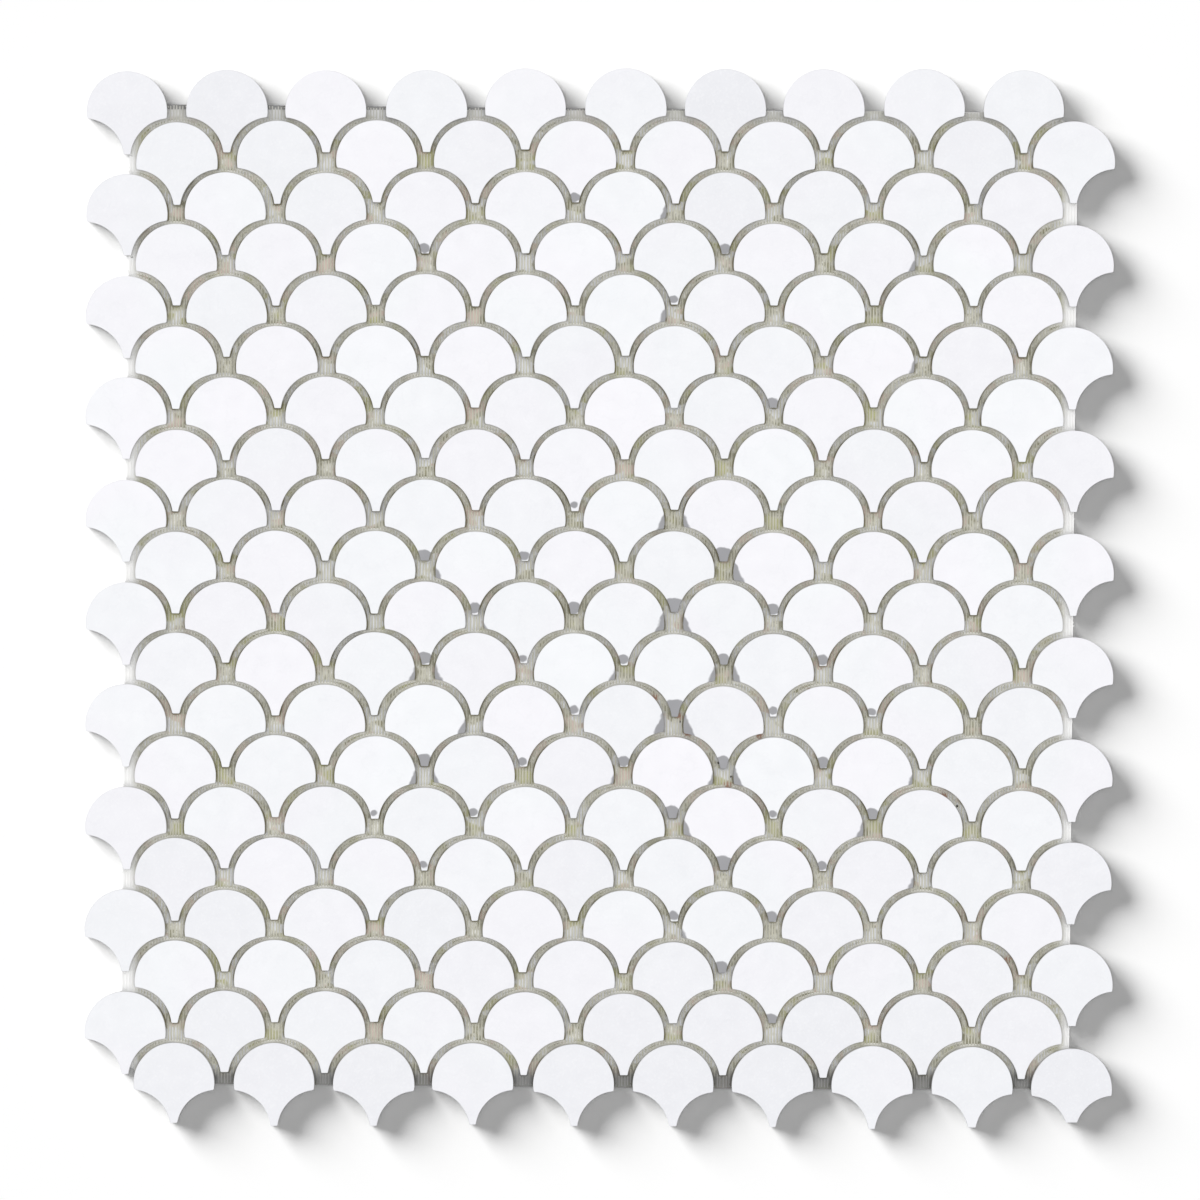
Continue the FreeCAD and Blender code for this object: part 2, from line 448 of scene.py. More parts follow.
def mix_colour(tree, factor, first, second):
    """Two colours mixed by a factor. Each is a socket, or its red, green and blue."""
    node = add_node(tree, "ShaderNodeMix", data_type="RGBA")
    for index, value in ((MIX_FACTOR, factor), (MIX_FIRST, first), (MIX_SECOND, second)):
        if isinstance(value, bpy.types.NodeSocket):
            tree.links.new(value, node.inputs[index])
        else:
            node.inputs[index].default_value = (*value, 1.0)
    return node.outputs[MIX_RESULT]


def painted(tree, colour, mask, share, tint):
    """A colour with a tint laid over it where a mask is 1, by the tint's share."""
    return mix_colour(tree, scaled(tree, mask, share), colour, tint)


def blot(tree, vector, place, size, ragged):
    """A ragged round mark: 1 at a place, 0 beyond its size."""
    distance = vector_node(tree, "DISTANCE", vector, (*place, 0.0), output="Value")
    distance = math_node(tree, "ADD", distance, scaled(tree, ragged, size))
    inner, outer = BLOT_EDGE
    return below(tree, distance, inner * size, outer * size)


def roughen(tree, shader, height, strength, depth):
    """Fine relief from a height value."""
    bump = add_node(tree, "ShaderNodeBump", {"Strength": strength, "Distance": depth, "Height": height})
    tree.links.new(bump.outputs["Normal"], shader.inputs["Normal"])


def painted_shadow_marks(tree, ragged):
    """Painted shadow on the corners of a fan: a rounded grey patch on the foot, pointed ones on the
    shoulders.
    """
    own = attribute(tree, "fan_point", "Vector")
    sizes = add_node(tree, "ShaderNodeSeparateXYZ", {0: attribute(tree, "shadow_patches", "Vector")}).outputs
    shadow_marks = 0.0
    for size, (corner, place) in zip(sizes, SHADOW_PATCH_CORNERS.items()):
        across, along = SHADOW_PATCH_REACH[corner]
        offset = vector_node(tree, "SUBTRACT", own, (*place, 0.0))
        offset = stretched(tree, offset, (1 / across, 1 / along, 0))
        if corner == "foot":
            reach = vector_node(tree, "LENGTH", offset, output="Value")
        else:
            offset = vector_node(tree, "ABSOLUTE", offset)
            reach = vector_node(tree, "DOT_PRODUCT", offset, (1, 1, 0), output="Value")
        reach = math_node(tree, "ADD", reach, scaled(tree, ragged, SHADOW_PATCH_RAGGED))
        beyond = math_node(tree, "SUBTRACT", reach, scaled(tree, size, SHADOW_PATCH_GROWTH))
        shadow_marks = math_node(tree, "MAXIMUM", below(tree, beyond, -SHADOW_PATCH_EDGE, 0.0), shadow_marks)
    return shadow_marks


def stone_colour(tree, spot):
    """Clouds of white, a tone for each fan, faint veins, and fine crystals painted lighter: crystal grain and
    painted glints.
    """
    colour = mix_colour(tree, noise(tree, spot, CLOUD_SIZE), *CLOUD_COLOURS)
    lilac = step(tree, noise(tree, spot, LILAC_SIZE, detail=1), 0.40, 0.60)
    colour = painted(tree, colour, lilac, LILAC_SHARE, LILAC_COLOUR)
    colour = painted(tree, colour, attribute(tree, "stone_tone"), DULL_SHARE, DULL_COLOUR)

    ridges = math_node(tree, "SUBTRACT", noise(tree, spot, VEIN_SPACING, detail=4, roughness=0.6), 0.5)
    veins = below(tree, math_node(tree, "ABSOLUTE", ridges), 0.0, VEIN_WIDTH)
    colour = painted(tree, colour, veins, VEIN_SHARE, VEIN_COLOUR)

    # Crystal grain painted lighter, also standing in as painted glints
    crystals = add_node(tree, "ShaderNodeTexVoronoi", {"Vector": spot, "Scale": 1 / CRYSTAL_SIZE})
    glints = step(tree, crystals.outputs["Color"], 0.5, 0.95)
    return painted(tree, colour, glints, CRYSTAL_GLINT_SHARE, CRYSTAL_GLINT_COLOUR)


def marble_material():
    """Honed white marble with sawn sides, and painted grey shadow on some corners."""
    material, tree, shader = new_material("white_marble")
    spot = attribute(tree, "stone_point", "Vector")
    sawn = attribute(tree, "sawn")

    cuts = noise(tree, stretched(tree, spot, SAW_MARK_STRETCH), SAW_MARKS, detail=3)
    colour = mix_colour(tree, sawn, stone_colour(tree, spot), mix_colour(tree, cuts, *SAWN_COLOURS))
    # Painted shadow: grey patches on the corners of the fans, fainter on the sawn sides
    shadow_marks = painted_shadow_marks(tree, noise(tree, spot, SHADOW_PATCH_GRAIN, detail=1))
    share = math_node(tree, "SUBTRACT", SHADOW_PATCH_SHARE, scaled(tree, sawn, SHADOW_PATCH_LOST_ON_SIDES))
    colour = painted(tree, colour, shadow_marks, share, PAINTED_SHADOW_COLOUR)
    tree.links.new(colour, shader.inputs["Base Color"])

    polish = scaled(tree, noise(tree, spot, POLISH_SIZE), POLISH_VARIATION)
    polish = math_node(tree, "ADD", polish, POLISH)
    polish = math_node(tree, "ADD", polish, scaled(tree, sawn, SAWN_ROUGHER))
    tree.links.new(polish, shader.inputs["Roughness"])

    grain = noise(tree, spot, CRYSTAL_SIZE, detail=3)
    grain = math_node(tree, "ADD", grain, math_node(tree, "MULTIPLY", cuts, sawn))
    roughen(tree, shader, grain, strength=0.2, depth=STONE_RELIEF)
    shader.inputs["IOR"].default_value = MARBLE_IOR
    return material


def from_edge(tree, place, edge):
    """How far a point of the mesh lies from its upper, lower or nearer side edge."""
    axes = add_node(tree, "ShaderNodeSeparateXYZ", {0: place}).outputs
    if edge == "side":
        return math_node(tree, "SUBTRACT", MESH_WIDTH / 2, math_node(tree, "ABSOLUTE", axes["X"]))
    outward = scaled(tree, axes["Y"], 1 if edge == "upper" else -1)
    return math_node(tree, "SUBTRACT", MESH_LENGTH / 2, outward)


def with_edges(tree, place, colour, edges):
    """A colour that changes near the cut edges of the mesh."""
    for edge, full, gone, share, tint in edges:
        mask = below(tree, from_edge(tree, place, edge), full, gone)
        colour = painted(tree, colour, mask, share, tint)
    return colour


def adhesive_colour(tree, place):
    """Khaki, browner round one place, mottled, with patches of other tints and dark threads."""
    khaki = step(tree, noise(tree, place, KHAKI_SIZE, detail=4, roughness=0.65), 0.38, 0.62)
    colour = mix_colour(tree, khaki, *KHAKI_COLOURS)

    aged = vector_node(tree, "DISTANCE", place, (*AGED_PLACE, 0.0), output="Value")
    ragged = scaled(tree, noise(tree, place, AGED_GRAIN), AGED_RAGGED)
    aged = below(tree, math_node(tree, "ADD", aged, ragged), *AGED_REACH)
    colour = painted(tree, colour, aged, AGED_SHARE, AGED_COLOUR)

    mottle = noise(tree, stretched(tree, place, MOTTLE_STRETCH), MOTTLE_SIZE, detail=3, roughness=0.7)
    colour = painted(tree, colour, step(tree, mottle, 0.51, 0.61), MOTTLE_SHARE, MOTTLE_DARK)
    colour = painted(tree, colour, below(tree, mottle, 0.39, 0.49), MOTTLE_SHARE, MOTTLE_LIGHT)

    for size, low, high, tint in PATCHES:
        patches = step(tree, noise(tree, stretched(tree, place, PATCH_STRETCH), size), low, high)
        colour = painted(tree, colour, patches, PATCH_SHARE, tint)

    threads = noise(tree, stretched(tree, place, THREAD_STRETCH), THREAD_SIZE, roughness=0.6)
    return painted(tree, colour, step(tree, threads, 0.42, 0.62), THREAD_SHARE, THREAD_COLOUR)


def with_beads(tree, place, colour):
    """A colour that is pale, or darkened by painted shade, where the adhesive wells up along the stone."""
    blotches = step(tree, noise(tree, place, BLOTCH_SIZE), 0.40, 0.60)
    pale = math_node(tree, "SUBTRACT", 1.0, scaled(tree, blotches, BLOTCHED_PALE))
    pale = math_node(tree, "MULTIPLY", attribute(tree, "bead_pale"), pale)
    colour = mix_colour(tree, pale, colour, BEAD_PALE_COLOUR)
    # Painted shade along the stone, strongest in the blotches
    wall_shade = math_node(tree, "ADD", blotches, WALL_SHADE_BETWEEN_BLOTCHES)
    wall_shade = math_node(tree, "MULTIPLY", attribute(tree, "painted_wall_shade"), wall_shade)
    return mix_colour(tree, wall_shade, colour, BEAD_PAINTED_SHADE_COLOUR)


def with_spots(tree, place, colour):
    """A colour with rust and grit on it."""
    level = flat(tree, place)
    ragged = noise(tree, place, ADHESIVE_GRAIN, detail=1)
    for spots, tint in ((RUST, RUST_COLOUR), (GRIT, GRIT_COLOUR)):
        for x, y, size in spots:
            colour = mix_colour(tree, blot(tree, level, (x, y), size, ragged), colour, tint)
    return colour


def adhesive_material():
    """Adhesive that fills the mesh: blotched, with painted shade along the stone, greyer at the upper cut end
    and with painted shade at the lower one.
    """
    material, tree, shader = new_material("mesh_adhesive")
    place = own_place(tree)
    colour = with_beads(tree, place, adhesive_colour(tree, place))
    colour = with_edges(tree, place, with_spots(tree, place, colour), ADHESIVE_EDGES)
    tree.links.new(colour, shader.inputs["Base Color"])
    shader.inputs["Roughness"].default_value = 0.6
    grain = noise(tree, place, ADHESIVE_GRAIN, detail=3)
    roughen(tree, shader, grain, strength=0.5, depth=ADHESIVE_RELIEF)
    return material


def yarn_material():
    """Glass yarn soaked in adhesive."""
    material, tree, shader = new_material("glass_yarn")
    place = own_place(tree)
    colour = mix_colour(tree, noise(tree, place, YARN_CLOUDS, detail=3), *YARN_COLOURS)
    # Paler near the sides, greyer near the upper end, and painted shade near the lower end
    tree.links.new(with_edges(tree, place, colour, YARN_EDGES), shader.inputs["Base Color"])
    shader.inputs["Roughness"].default_value = 0.5
    roughen(tree, shader, noise(tree, place, YARN_GRAIN), strength=0.6, depth=YARN_RELIEF)
    return material


def pad_material():
    """Milky adhesive under each fan, with the weave pressed into it."""
    material, tree, shader = new_material("bonding_adhesive")
    place = own_place(tree)
    weave = 0.0
    for direction, pitch in (("X", WARP_PITCH), ("Y", WEFT_PITCH)):
        bands = add_node(
            tree, "ShaderNodeTexWave", {"Vector": place, "Scale": WAVE_BAND / pitch},
            wave_type="BANDS", bands_direction=direction,
        )
        weave = math_node(tree, "MAXIMUM", bands.outputs["Fac"], weave)
    colour = mix_colour(tree, noise(tree, place, PAD_CLOUDS, detail=3), *PAD_COLOURS)
    colour = painted(tree, colour, weave, PAD_WEAVE_SHARE, PAD_WEAVE_COLOUR)
    tree.links.new(colour, shader.inputs["Base Color"])
    shader.inputs["Roughness"].default_value = 0.55
    roughen(tree, shader, weave, strength=0.6, depth=PAD_RELIEF)
    return material


def floor_material():
    """White floor without gloss, which keeps the sheet's shadow."""
    material, _, shader = new_material("white_floor")
    shader.inputs["Base Color"].default_value = (1.0, 1.0, 1.0, 1.0)
    shader.inputs["Roughness"].default_value = 1.0
    shader.inputs["Specular IOR Level"].default_value = 0.0
    return material


def circles_meet(first, first_radius, second, second_radius):
    """The point where two circles meet that lies to the left of the line from first to second."""
    across = second - first
    gap = np.hypot(*across)
    along = (gap**2 + first_radius**2 - second_radius**2) / (2 * gap)
    aside = math.sqrt(first_radius**2 - along**2)
    direction = across / gap
    return first + along * direction + aside * np.array((-direction[1], direction[0]))


def arc(centre, radius, start, stop, steps, outward=1):
    """Points on an arc and their outward normals, without the last point."""
    angles = start + (stop - start) * np.arange(steps) / steps
    rays = np.column_stack((np.cos(angles), np.sin(angles)))
    return centre + radius * rays, outward * rays


def direction_of(vector):
    """The angle of a vector, from the X axis."""
    return math.atan2(vector[1], vector[0])


def fan_outline(crown_radius, neck_width, foot_depth, shoulder_rounding, foot_rounding):
    """Outline of one fan, anticlockwise from the middle of its foot, with the outward normals.

    The crown's centre is the origin. A scallop of the crown's radius cuts in on each side, and
    shoulders and foot are slightly rounded by arcs that run on from their neighbours.
    """
    scallop = np.array((crown_radius + neck_width / 2, -SCALLOP_DEPTH))
    rise = -foot_depth + foot_rounding - scallop[1]
    reach = math.sqrt((crown_radius + foot_rounding) ** 2 - rise**2)
    foot_corner = np.array((scallop[0] - reach, -foot_depth + foot_rounding))
    shoulder = circles_meet(
        np.zeros(2), crown_radius - shoulder_rounding, scallop, crown_radius + shoulder_rounding
    )

    steps = OUTLINE_STEPS
    foot_line = np.column_stack(
        (foot_corner[0] * np.arange(steps["foot"]) / steps["foot"], np.full(steps["foot"], -foot_depth))
    )
    parts = [
        (foot_line, np.tile((0.0, -1.0), (steps["foot"], 1))),
        arc(foot_corner, foot_rounding, -math.pi / 2, direction_of(scallop - foot_corner),
            steps["foot_corner"]),
        arc(scallop, crown_radius, direction_of(foot_corner - scallop), direction_of(shoulder - scallop),
            steps["scallop"], outward=-1),
        arc(shoulder, shoulder_rounding, direction_of(scallop - shoulder), direction_of(shoulder),
            steps["shoulder"]),
        arc(np.zeros(2), crown_radius, direction_of(shoulder), math.pi / 2, steps["crown"]),
        (np.array([(0.0, crown_radius)]), np.array([(0.0, 1.0)])),
    ]
    points = np.vstack([part[0] for part in parts])
    normals = np.vstack([part[1] for part in parts])
    mirrored = np.array((-1.0, 1.0))
    return (
        np.vstack((points, points[-2:0:-1] * mirrored)),
        np.vstack((normals, normals[-2:0:-1] * mirrored)),
    )


def waver(rng, count, size):
    """A smooth closed random wave with that many samples."""
    turn = np.linspace(0, 2 * math.pi, count, endpoint=False)
    wave = sum(
        rng.normal() / order * np.cos(order * turn + rng.uniform(0, 2 * math.pi))
        for order in WAVER_ORDERS
    )
    return size * wave


def turned(points, way=1):
    """Points of the mesh turned as it lies under the fans, or turned back."""
    cos, sin = math.cos(way * MESH_TURN), math.sin(way * MESH_TURN)
    x, y, z = np.asarray(points).T
    return np.column_stack((x * cos - y * sin, x * sin + y * cos, z))


class Fan:
    """One fan: the outline it was cut to, and how it lies on the mesh."""

    def __init__(self, rng, course, place):
        self.course, self.place = course, place
        points, self.normals = fan_outline(
            CROWN_RADIUS + rng.normal(0, HAND_LAID["crown"]),
            NECK_WIDTH + rng.normal(0, HAND_LAID["neck"]),
            FOOT_DEPTH + rng.normal(0, HAND_LAID["foot"]) - SHORT_FEET.get((course, place), 0),
            SHOULDER_ROUNDING * rng.uniform(*ROUNDING_RANGE),
            FOOT_ROUNDING * rng.uniform(*ROUNDING_RANGE),
        )
        self.outline = points + self.normals * waver(rng, len(points), HAND_LAID["waver"])[:, None]
        self.arris = ARRIS * np.clip(1 + waver(rng, len(points), ARRIS_WAVER), *ARRIS_RANGE)
        self.lean = rng.normal(0, HAND_LAID["tilt"], 2)
        self.turn = rng.normal(0, HAND_LAID["turn"])
        self.vein_offset = rng.uniform(-1, 1, 3)
        self.tone = rng.uniform(0, 1) + DULL_COURSES.get(course, 0)
        if (course, place) in DULL_FANS:
            self.tone += DULL_FAN

        low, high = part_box(f"tile_row_{course:02d}")
        self.bottom, self.thickness = low.z, high.z - low.z
        shift = (course - 1) % 2
        x = (COLUMN_PITCH * shift - COURSE_SPAN) / 2 + (place - 1) * COLUMN_PITCH
        y = high.y - CROWN_RADIUS
        across, along = 2 * x / COURSE_SPAN, 2 * y / MESH_LENGTH
        sag = -COURSE_BOW * (across**2 - 1 / 4) + SHEET_TWIST * across * along
        self.middle = np.array((x, y + sag)) + rng.normal(0, HAND_LAID["shift"], 2)

    def laid(self, points):
        """Points of the fan's own frame, with heights from its underside, where the fan lies."""
        x, y, z = np.asarray(points).T
        cos, sin = math.cos(self.turn), math.sin(self.turn)
        slope = (self.lean[0] * x + self.lean[1] * y) * z / self.thickness
        return np.column_stack((
            self.middle[0] + x * cos - y * sin,
            self.middle[1] + x * sin + y * cos,
            self.bottom + z + slope,
        ))

    def rings(self, profile, stride=1):
        """Closed rings round the outline, for each (inset, height) of a profile."""
        outline, normals = self.outline[::stride], self.normals[::stride]
        count = len(outline)
        rings = [
            np.column_stack((
                outline - normals * np.broadcast_to(inset, count)[:, None],
                np.broadcast_to(height, count),
            ))
            for inset, height in profile
        ]
        return np.array(rings)

    def profile(self):
        """Inset and height of the fan's rings: a small chamfer below, the eased edge and the face above."""
        eased = [
            (self.arris * (1 - math.cos(angle)), self.thickness - self.arris * (1 - math.sin(angle)))
            for angle in np.linspace(0, math.pi / 2, ARRIS_STEPS + 1)
        ]
        return [
            (ARRIS / 2, 0.0),
            (0.0, ARRIS / 2),
            *eased,
            (self.arris + FACE_BORDER, self.thickness),
        ]

    def shadow_patches(self):
        """Size of the painted shadow patch on each of the fan's corners, 0 where there is none."""
        return [
            (SHADOW_PATCH_MEAN + SHADOW_PATCH_VARIATION * chance) * SHADOW_PATCHES[corner].get(self.course, {}).get(self.place, 0)
            for corner, chance in zip(SHADOW_PATCH_CORNERS, self.vein_offset)
        ]


def ring_faces(rings, count, first, closed=False):
    """Quads between rings of count points, with caps at both ends, or closed on themselves.

    first is the number of the first point.
    """
    here = np.arange(count)
    after = (here + 1) % count
    faces = []
    for level in range(rings if closed else rings - 1):
        low, high = first + level * count, first + (level + 1) % rings * count
        faces += np.column_stack((low + here, low + after, high + after, high + here)).tolist()
    if not closed:
        faces.append((first + here[::-1]).tolist())
        faces.append((first + (rings - 1) * count + here).tolist())
    return faces


def new_object(name, points, faces, material):
    """A mesh object at the origin."""
    mesh = bpy.data.meshes.new(name)
    mesh.from_pydata(np.asarray(points).tolist(), [], faces)
    mesh.materials.append(material)
    piece = bpy.data.objects.new(name, mesh)
    bpy.context.scene.collection.objects.link(piece)
    return piece


def set_values(piece, name, values):
    """Stores a value for each point of the mesh."""
    stored = piece.data.attributes.new(name, "FLOAT", "POINT")
    stored.data.foreach_set("value", np.concatenate(values).astype(np.float32))


def set_vectors(piece, name, vectors):
    """Stores a vector for each point of the mesh."""
    stored = piece.data.attributes.new(name, "FLOAT_VECTOR", "POINT")
    stored.data.foreach_set("vector", np.vstack(vectors).astype(np.float32).ravel())


def shade(piece, corner):
    """Smooth shading, crisp at edges of more than that many degrees."""
    piece.data.polygons.foreach_set("use_smooth", np.ones(len(piece.data.polygons), dtype=bool))
    piece.data.set_sharp_from_angle(angle=math.radians(corner))


def stand_for(piece, node):
    """Makes a piece ride on the part in place of a CAD node."""
    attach(piece, "root")
    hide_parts(node)
    return piece


def make_course(number, fans, material):
    """One course of ten fans on the place of its CAD node."""
    points, faces, own, spots, tones, sawn, shadow_patches = [], [], [], [], [], [], []
    for fan in fans:
        rings = fan.rings(fan.profile())
        levels, count, _ = rings.shape
        solid = rings.reshape(-1, 3)
        faces += ring_faces(levels, count, sum(map(len, points)))
        points.append(fan.laid(solid))
        own.append(solid * (1, 1, 0))
        spots.append(solid + fan.vein_offset)
        tones.append(np.full(len(solid), fan.tone))
        sawn.append(np.repeat(np.arange(levels) < SAWN_RINGS, count))
        # Size of the painted shadow patches on each corner
        shadow_patches.append(np.tile(fan.shadow_patches(), (len(solid), 1)))

    piece = new_object(f"marble_fans_{number:02d}", np.vstack(points), faces, material)
    set_vectors(piece, "fan_point", own)
    set_vectors(piece, "stone_point", spots)
    set_values(piece, "stone_tone", tones)
    set_values(piece, "sawn", sawn)
    set_vectors(piece, "shadow_patches", shadow_patches)
    shade(piece, STONE_CORNER)
    stand_for(piece, f"tile_row_{number:02d}")


def corner_room(points, corner):
    """How far points in the mesh's own frame lie inside the cut that takes off one of its corners."""
    side, end = corner
    inside_side = MESH_WIDTH / 2 - side * points[:, 0]
    inside_end = MESH_LENGTH / 2 - end * points[:, 1]
    return (inside_side + inside_end - CORNER_CUTS[corner]) / math.sqrt(2)


def on_mesh(points):
    """1 for points well over the mesh, falling to 0 at its cut edges."""
    points = turned(points, -1)
    inside = np.minimum(MESH_WIDTH / 2 - abs(points[:, 0]), MESH_LENGTH / 2 - abs(points[:, 1]))
    for corner in CORNER_CUTS:
        inside = np.minimum(inside, corner_room(points, corner))
    return np.clip(inside / BEAD_WIDTH, 0, 1)


def bead_profile(fan, outline, normals, rng):
    """Inset and height of a bead's rings. Where the fan stands out beyond the mesh, they shrink into it."""
    count = len(outline)
    outward = np.column_stack((normals * BEAD_WIDTH, np.zeros(count)))
    held = on_mesh(fan.laid(outline) + outward)
    rise = 1 + waver(rng, count, BEAD_RISE_WAVER)
    profile = []
    for outset, level, _ in BEAD_SECTION:
        height = level - fan.bottom
        lifted = np.where(height > 0, height * rise, height)
        profile.append((
            -held * outset + (1 - held) * (HIDDEN_INSET - outset / HIDDEN_SHRINK),
            held * lifted + (1 - held) * (HIDDEN_HEIGHT + height / HIDDEN_SHRINK),
        ))
    return profile


def make_beads(fans, material, rng):
    """A bead of adhesive round the foot of every fan: a ring that hollows up to the stone."""
    points, faces, wall_shades, pales = [], [], [], []
    for fan in fans:
        outline = fan.rings([(0.0, 0.0)], stride=PRINT_STRIDE)[0]
        normals = fan.normals[::PRINT_STRIDE]
        count = len(outline)
        rings = fan.rings(bead_profile(fan, outline, normals, rng), stride=PRINT_STRIDE)
        faces += ring_faces(len(BEAD_SECTION), count, sum(map(len, points)), closed=True)
        points.append(fan.laid(rings.reshape(-1, 3)))

        # Pale where the joint runs across the sheet, above the crowns, but not under the feet
        pale = np.where(outline[:, 1] > FOOT_ZONE - FOOT_DEPTH, normals[:, 1] ** 2, 0.0)
        # Painted shade along the stone, less where the joint is pale
        wall_shade = np.clip(WALL_SHADE_MEAN + waver(rng, count, WALL_SHADE_WAVER), *WALL_SHADE_RANGE) * (1 - PALE_SHARE * pale)
        wall_shades.append(np.concatenate([share * wall_shade for _, _, share in BEAD_SECTION]))
        pales.append(np.tile(PALE_MIN + PALE_SHARE * pale, len(BEAD_SECTION)))

    beads = new_object("mesh_adhesive_beads", np.vstack(points), faces, material)
    set_values(beads, "painted_wall_shade", wall_shades)
    set_values(beads, "bead_pale", pales)
    shade(beads, BEAD_CORNER)
    return stand_for(beads, "mesh_backing")


def make_pads(fans, material):
    """The adhesive that bonds each fan: its print on the underside of the mesh, cut off with the mesh."""
    limit = np.array((MESH_WIDTH, MESH_LENGTH)) / 2 - PAD_INSET
    points, faces = [], []
    for fan in fans:
        outline = fan.rings([(PAD_INSET, 0.0)], stride=PRINT_STRIDE)[0]
        outline = turned(fan.laid(outline), -1)
        outline[:, :2] = np.clip(outline[:, :2], -limit, limit)
        for corner in CORNER_CUTS:
            beyond = np.minimum(corner_room(outline, corner) - PAD_INSET, 0)
            outline[:, :2] += beyond[:, None] * corner / math.sqrt(2)
        faces += ring_faces(2, len(outline), sum(map(len, points)))
        for height in (PAD_BOTTOM, (FILM_BOTTOM + FILM_TOP) / 2):
            outline[:, 2] = height
            points.append(turned(outline))
    pads = new_object("bonding_adhesive", np.vstack(points), faces, material)
    return stand_for(pads, "mesh_backing")


def lower_skew(x):
    """How far the lower end of the mesh is cut back towards its right corner."""
    return SKEW_CUT * np.maximum(2 * x / MESH_WIDTH, 0) ** SKEW_POWER


def make_film(material):
    """Adhesive film that fills the mesh: cut a little beyond it at both ends, askew at the lower right.

    The lower left and the upper right corner are cut off, because the photograph shows no mesh there.
    """
    lower_left, upper_right = CORNER_CUTS[LOWER_LEFT], CORNER_CUTS[UPPER_RIGHT]
    left, right = -MESH_WIDTH / 2, MESH_WIDTH / 2
    bottom, top = -MESH_LENGTH / 2 - LOWER_CUT, MESH_LENGTH / 2 + UPPER_CUT
    across = np.linspace(left + lower_left, right, SKEW_STEPS)
    outline = [(x, bottom + lower_skew(x)) for x in across]
    outline += [
        (right, top - upper_right),
        (right - upper_right, top),
        (left, top),
        (left, bottom + lower_left),
    ]
    points = [(*corner, height) for height in (FILM_BOTTOM, FILM_TOP) for corner in outline]
    film = new_object("mesh_adhesive_film", turned(points), ring_faces(2, len(outline), 0), material)
    return stand_for(film, "mesh_backing")


def yarn_ends(middle, span, length):
    """Where a yarn starts and stops, shorter where a corner of the mesh is cut off."""
    return [
        end * (length / 2 - max(0, CORNER_CUTS[corner] - FRAYED - abs(end * span / 2 - middle)))
        for end, corner in ((-1, LOWER_LEFT), (1, UPPER_RIGHT))
    ]


def make_yarns(name, pitch, span, length, height, along_y, material, rng):
    """Parallel yarns of the mesh, each a slightly wandering flat tube with frayed ends."""
    section = [
        (YARN_WIDTH / 2 * math.cos(angle), YARN_HEIGHT / 2 * math.sin(angle))
        for angle in np.linspace(0, 2 * math.pi, YARN_SIDES, endpoint=False)
    ]
    count = int(span / pitch)
    points, faces = [], []
    for number in range(count):
        middle = (number - (count - 1) / 2) * pitch
        start, stop = yarn_ends(middle, span, length)
        if along_y:
            start += lower_skew(middle)
        stations = np.linspace(start, stop, YARN_STATIONS)
        stations[[0, -1]] += rng.normal(0, FRAYED, 2)
        wander = rng.normal(0, pitch * YARN_WANDER, len(stations))
        first = len(points)
        for station, aside in zip(stations, wander):
            points += [(middle + aside + across, station, height + up) for across, up in section]
        faces += ring_faces(len(stations), len(section), first)
    points = np.array(points)
    if not along_y:
        points = points[:, [1, 0, 2]]
        faces = [face[::-1] for face in faces]
    yarns = new_object(name, turned(points), faces, material)
    shade(yarns, YARN_CORNER)
    return stand_for(yarns, "mesh_backing")


def make_floor(material):
    """A plain white floor under the sheet."""
    half = FLOOR_HALF
    corners = [(-half, -half), (half, -half), (half, half), (-half, half)]
    floor = new_object("floor", [(*corner, -FLOOR_DROP) for corner in corners], [(0, 1, 2, 3)], material)
    floor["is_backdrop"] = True
    return floor


def make_camera(face_height):
    """Long lens straight above the sheet."""
    data = bpy.data.cameras.new("camera")
    data.lens = LENS
    data.sensor_width = SENSOR
    data.clip_end = VIEW_REACH
    camera = bpy.data.objects.new("camera", data)
    camera.location = (*VIEW_CENTRE, face_height + PHOTO_WIDTH * LENS / SENSOR)
    camera.rotation_euler = Euler((0, 0, VIEW_ROLL))
    bpy.context.scene.collection.objects.link(camera)
    bpy.context.scene.camera = camera


def make_lamp(name, energy, softness, elevation, azimuth, lit):
    """A soft lamp, far off, that lights one collection."""
    data = bpy.data.lights.new(name, "SUN")
    data.energy = energy
    data.angle = math.radians(softness)
    lamp = bpy.data.objects.new(name, data)
    rise, bearing = math.radians(elevation), math.radians(azimuth)
    towards = Vector((
        math.cos(rise) * math.cos(bearing),
        math.cos(rise) * math.sin(bearing),
        math.sin(rise),
    ))
    lamp.rotation_euler = towards.to_track_quat("Z", "Y").to_euler()
    bpy.context.scene.collection.objects.link(lamp)
    lamp.light_linking.receiver_collection = lit


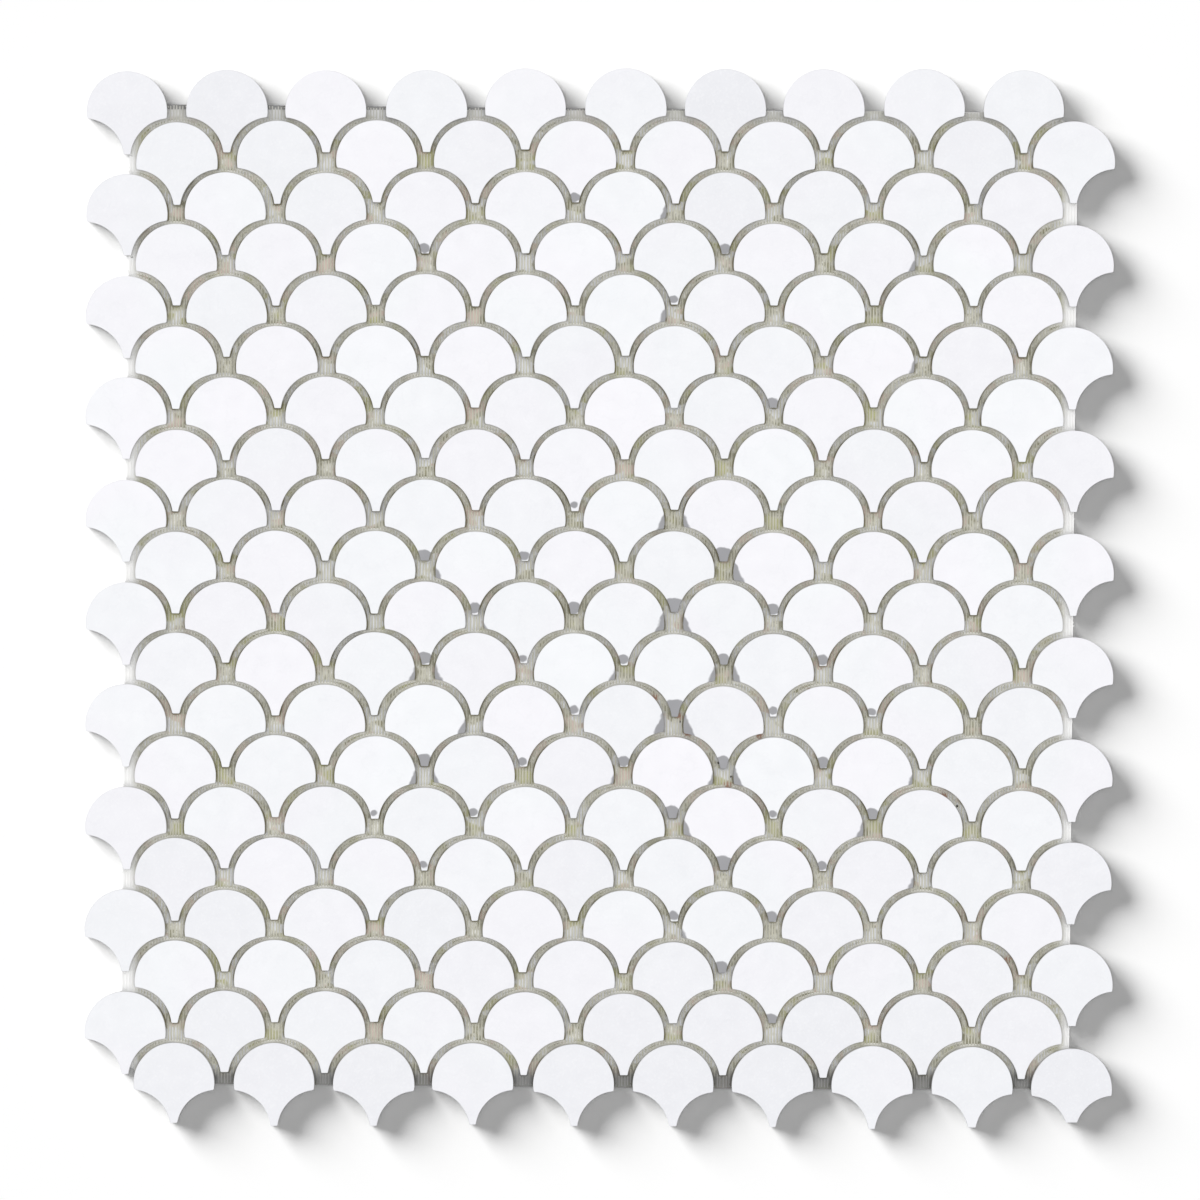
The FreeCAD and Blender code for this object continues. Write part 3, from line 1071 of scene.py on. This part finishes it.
def make_sky():
    """An even white sky, which camera and gloss see at full white."""
    world = bpy.data.worlds.new("studio")
    world.use_nodes = True
    tree = world.node_tree
    tree.nodes.clear()
    sky = add_node(tree, "ShaderNodeBackground", {"Color": (1, 1, 1, 1), "Strength": EVEN_LIGHT})
    seen = add_node(tree, "ShaderNodeBackground", {"Color": (1, 1, 1, 1), "Strength": 1.0})
    path = add_node(tree, "ShaderNodeLightPath")
    direct = math_node(tree, "MAXIMUM", path.outputs["Is Camera Ray"], path.outputs["Is Glossy Ray"])
    mixed = add_node(
        tree, "ShaderNodeMixShader", {0: direct, 1: sky.outputs[0], 2: seen.outputs[0]}
    )
    add_node(tree, "ShaderNodeOutputWorld", {"Surface": mixed.outputs[0]})
    bpy.context.scene.world = world


def make_light(sheet, ground):
    """A broad soft light over the sheet, one from the upper left that casts its shadow, and an even sky."""
    lamp_light = (1 - EVEN_LIGHT) * math.pi
    raking_light = lamp_light / math.sin(math.radians(SHADOW_RISE))
    make_lamp("softbox", lamp_light, SOFTBOX_WIDTH, elevation=90, azimuth=0, lit=sheet)
    make_lamp("shadow_light", raking_light, SHADOW_SOFTNESS, SHADOW_RISE, SHADOW_BEARING, lit=ground)
    make_sky()


def gather(name, members):
    """A collection of these objects, for the lamps."""
    group = bpy.data.collections.new(name)
    for member in members:
        group.objects.link(member)
    return group


def main():
    rng = np.random.default_rng(SEED)
    marble = marble_material()
    fans = []
    for number in range(1, COURSES + 1):
        course = [Fan(rng, number, place) for place in range(1, CHIPS_PER_COURSE + 1)]
        make_course(number, course, marble)
        fans += course

    adhesive, yarn = adhesive_material(), yarn_material()
    film = make_film(adhesive)
    on_film = [
        make_beads(fans, adhesive, rng),
        make_pads(fans, pad_material()),
        make_yarns("mesh_upper_warp", WARP_PITCH, MESH_WIDTH, MESH_LENGTH, FILM_TOP, True, yarn, rng),
        make_yarns("mesh_lower_warp", WARP_PITCH, MESH_WIDTH, MESH_LENGTH, YARN_HEIGHT / 2, True, yarn, rng),
        make_yarns("mesh_weft", WEFT_PITCH, MESH_LENGTH, MESH_WIDTH, YARN_HEIGHT / 2, False, yarn, rng),
    ]

    floor = make_floor(floor_material())
    make_camera(face_height=cad_bounds[1].z)
    make_light(gather("sheet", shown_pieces()), gather("ground", [floor]))
    bpy.context.scene.view_settings.view_transform = "Standard"


main()
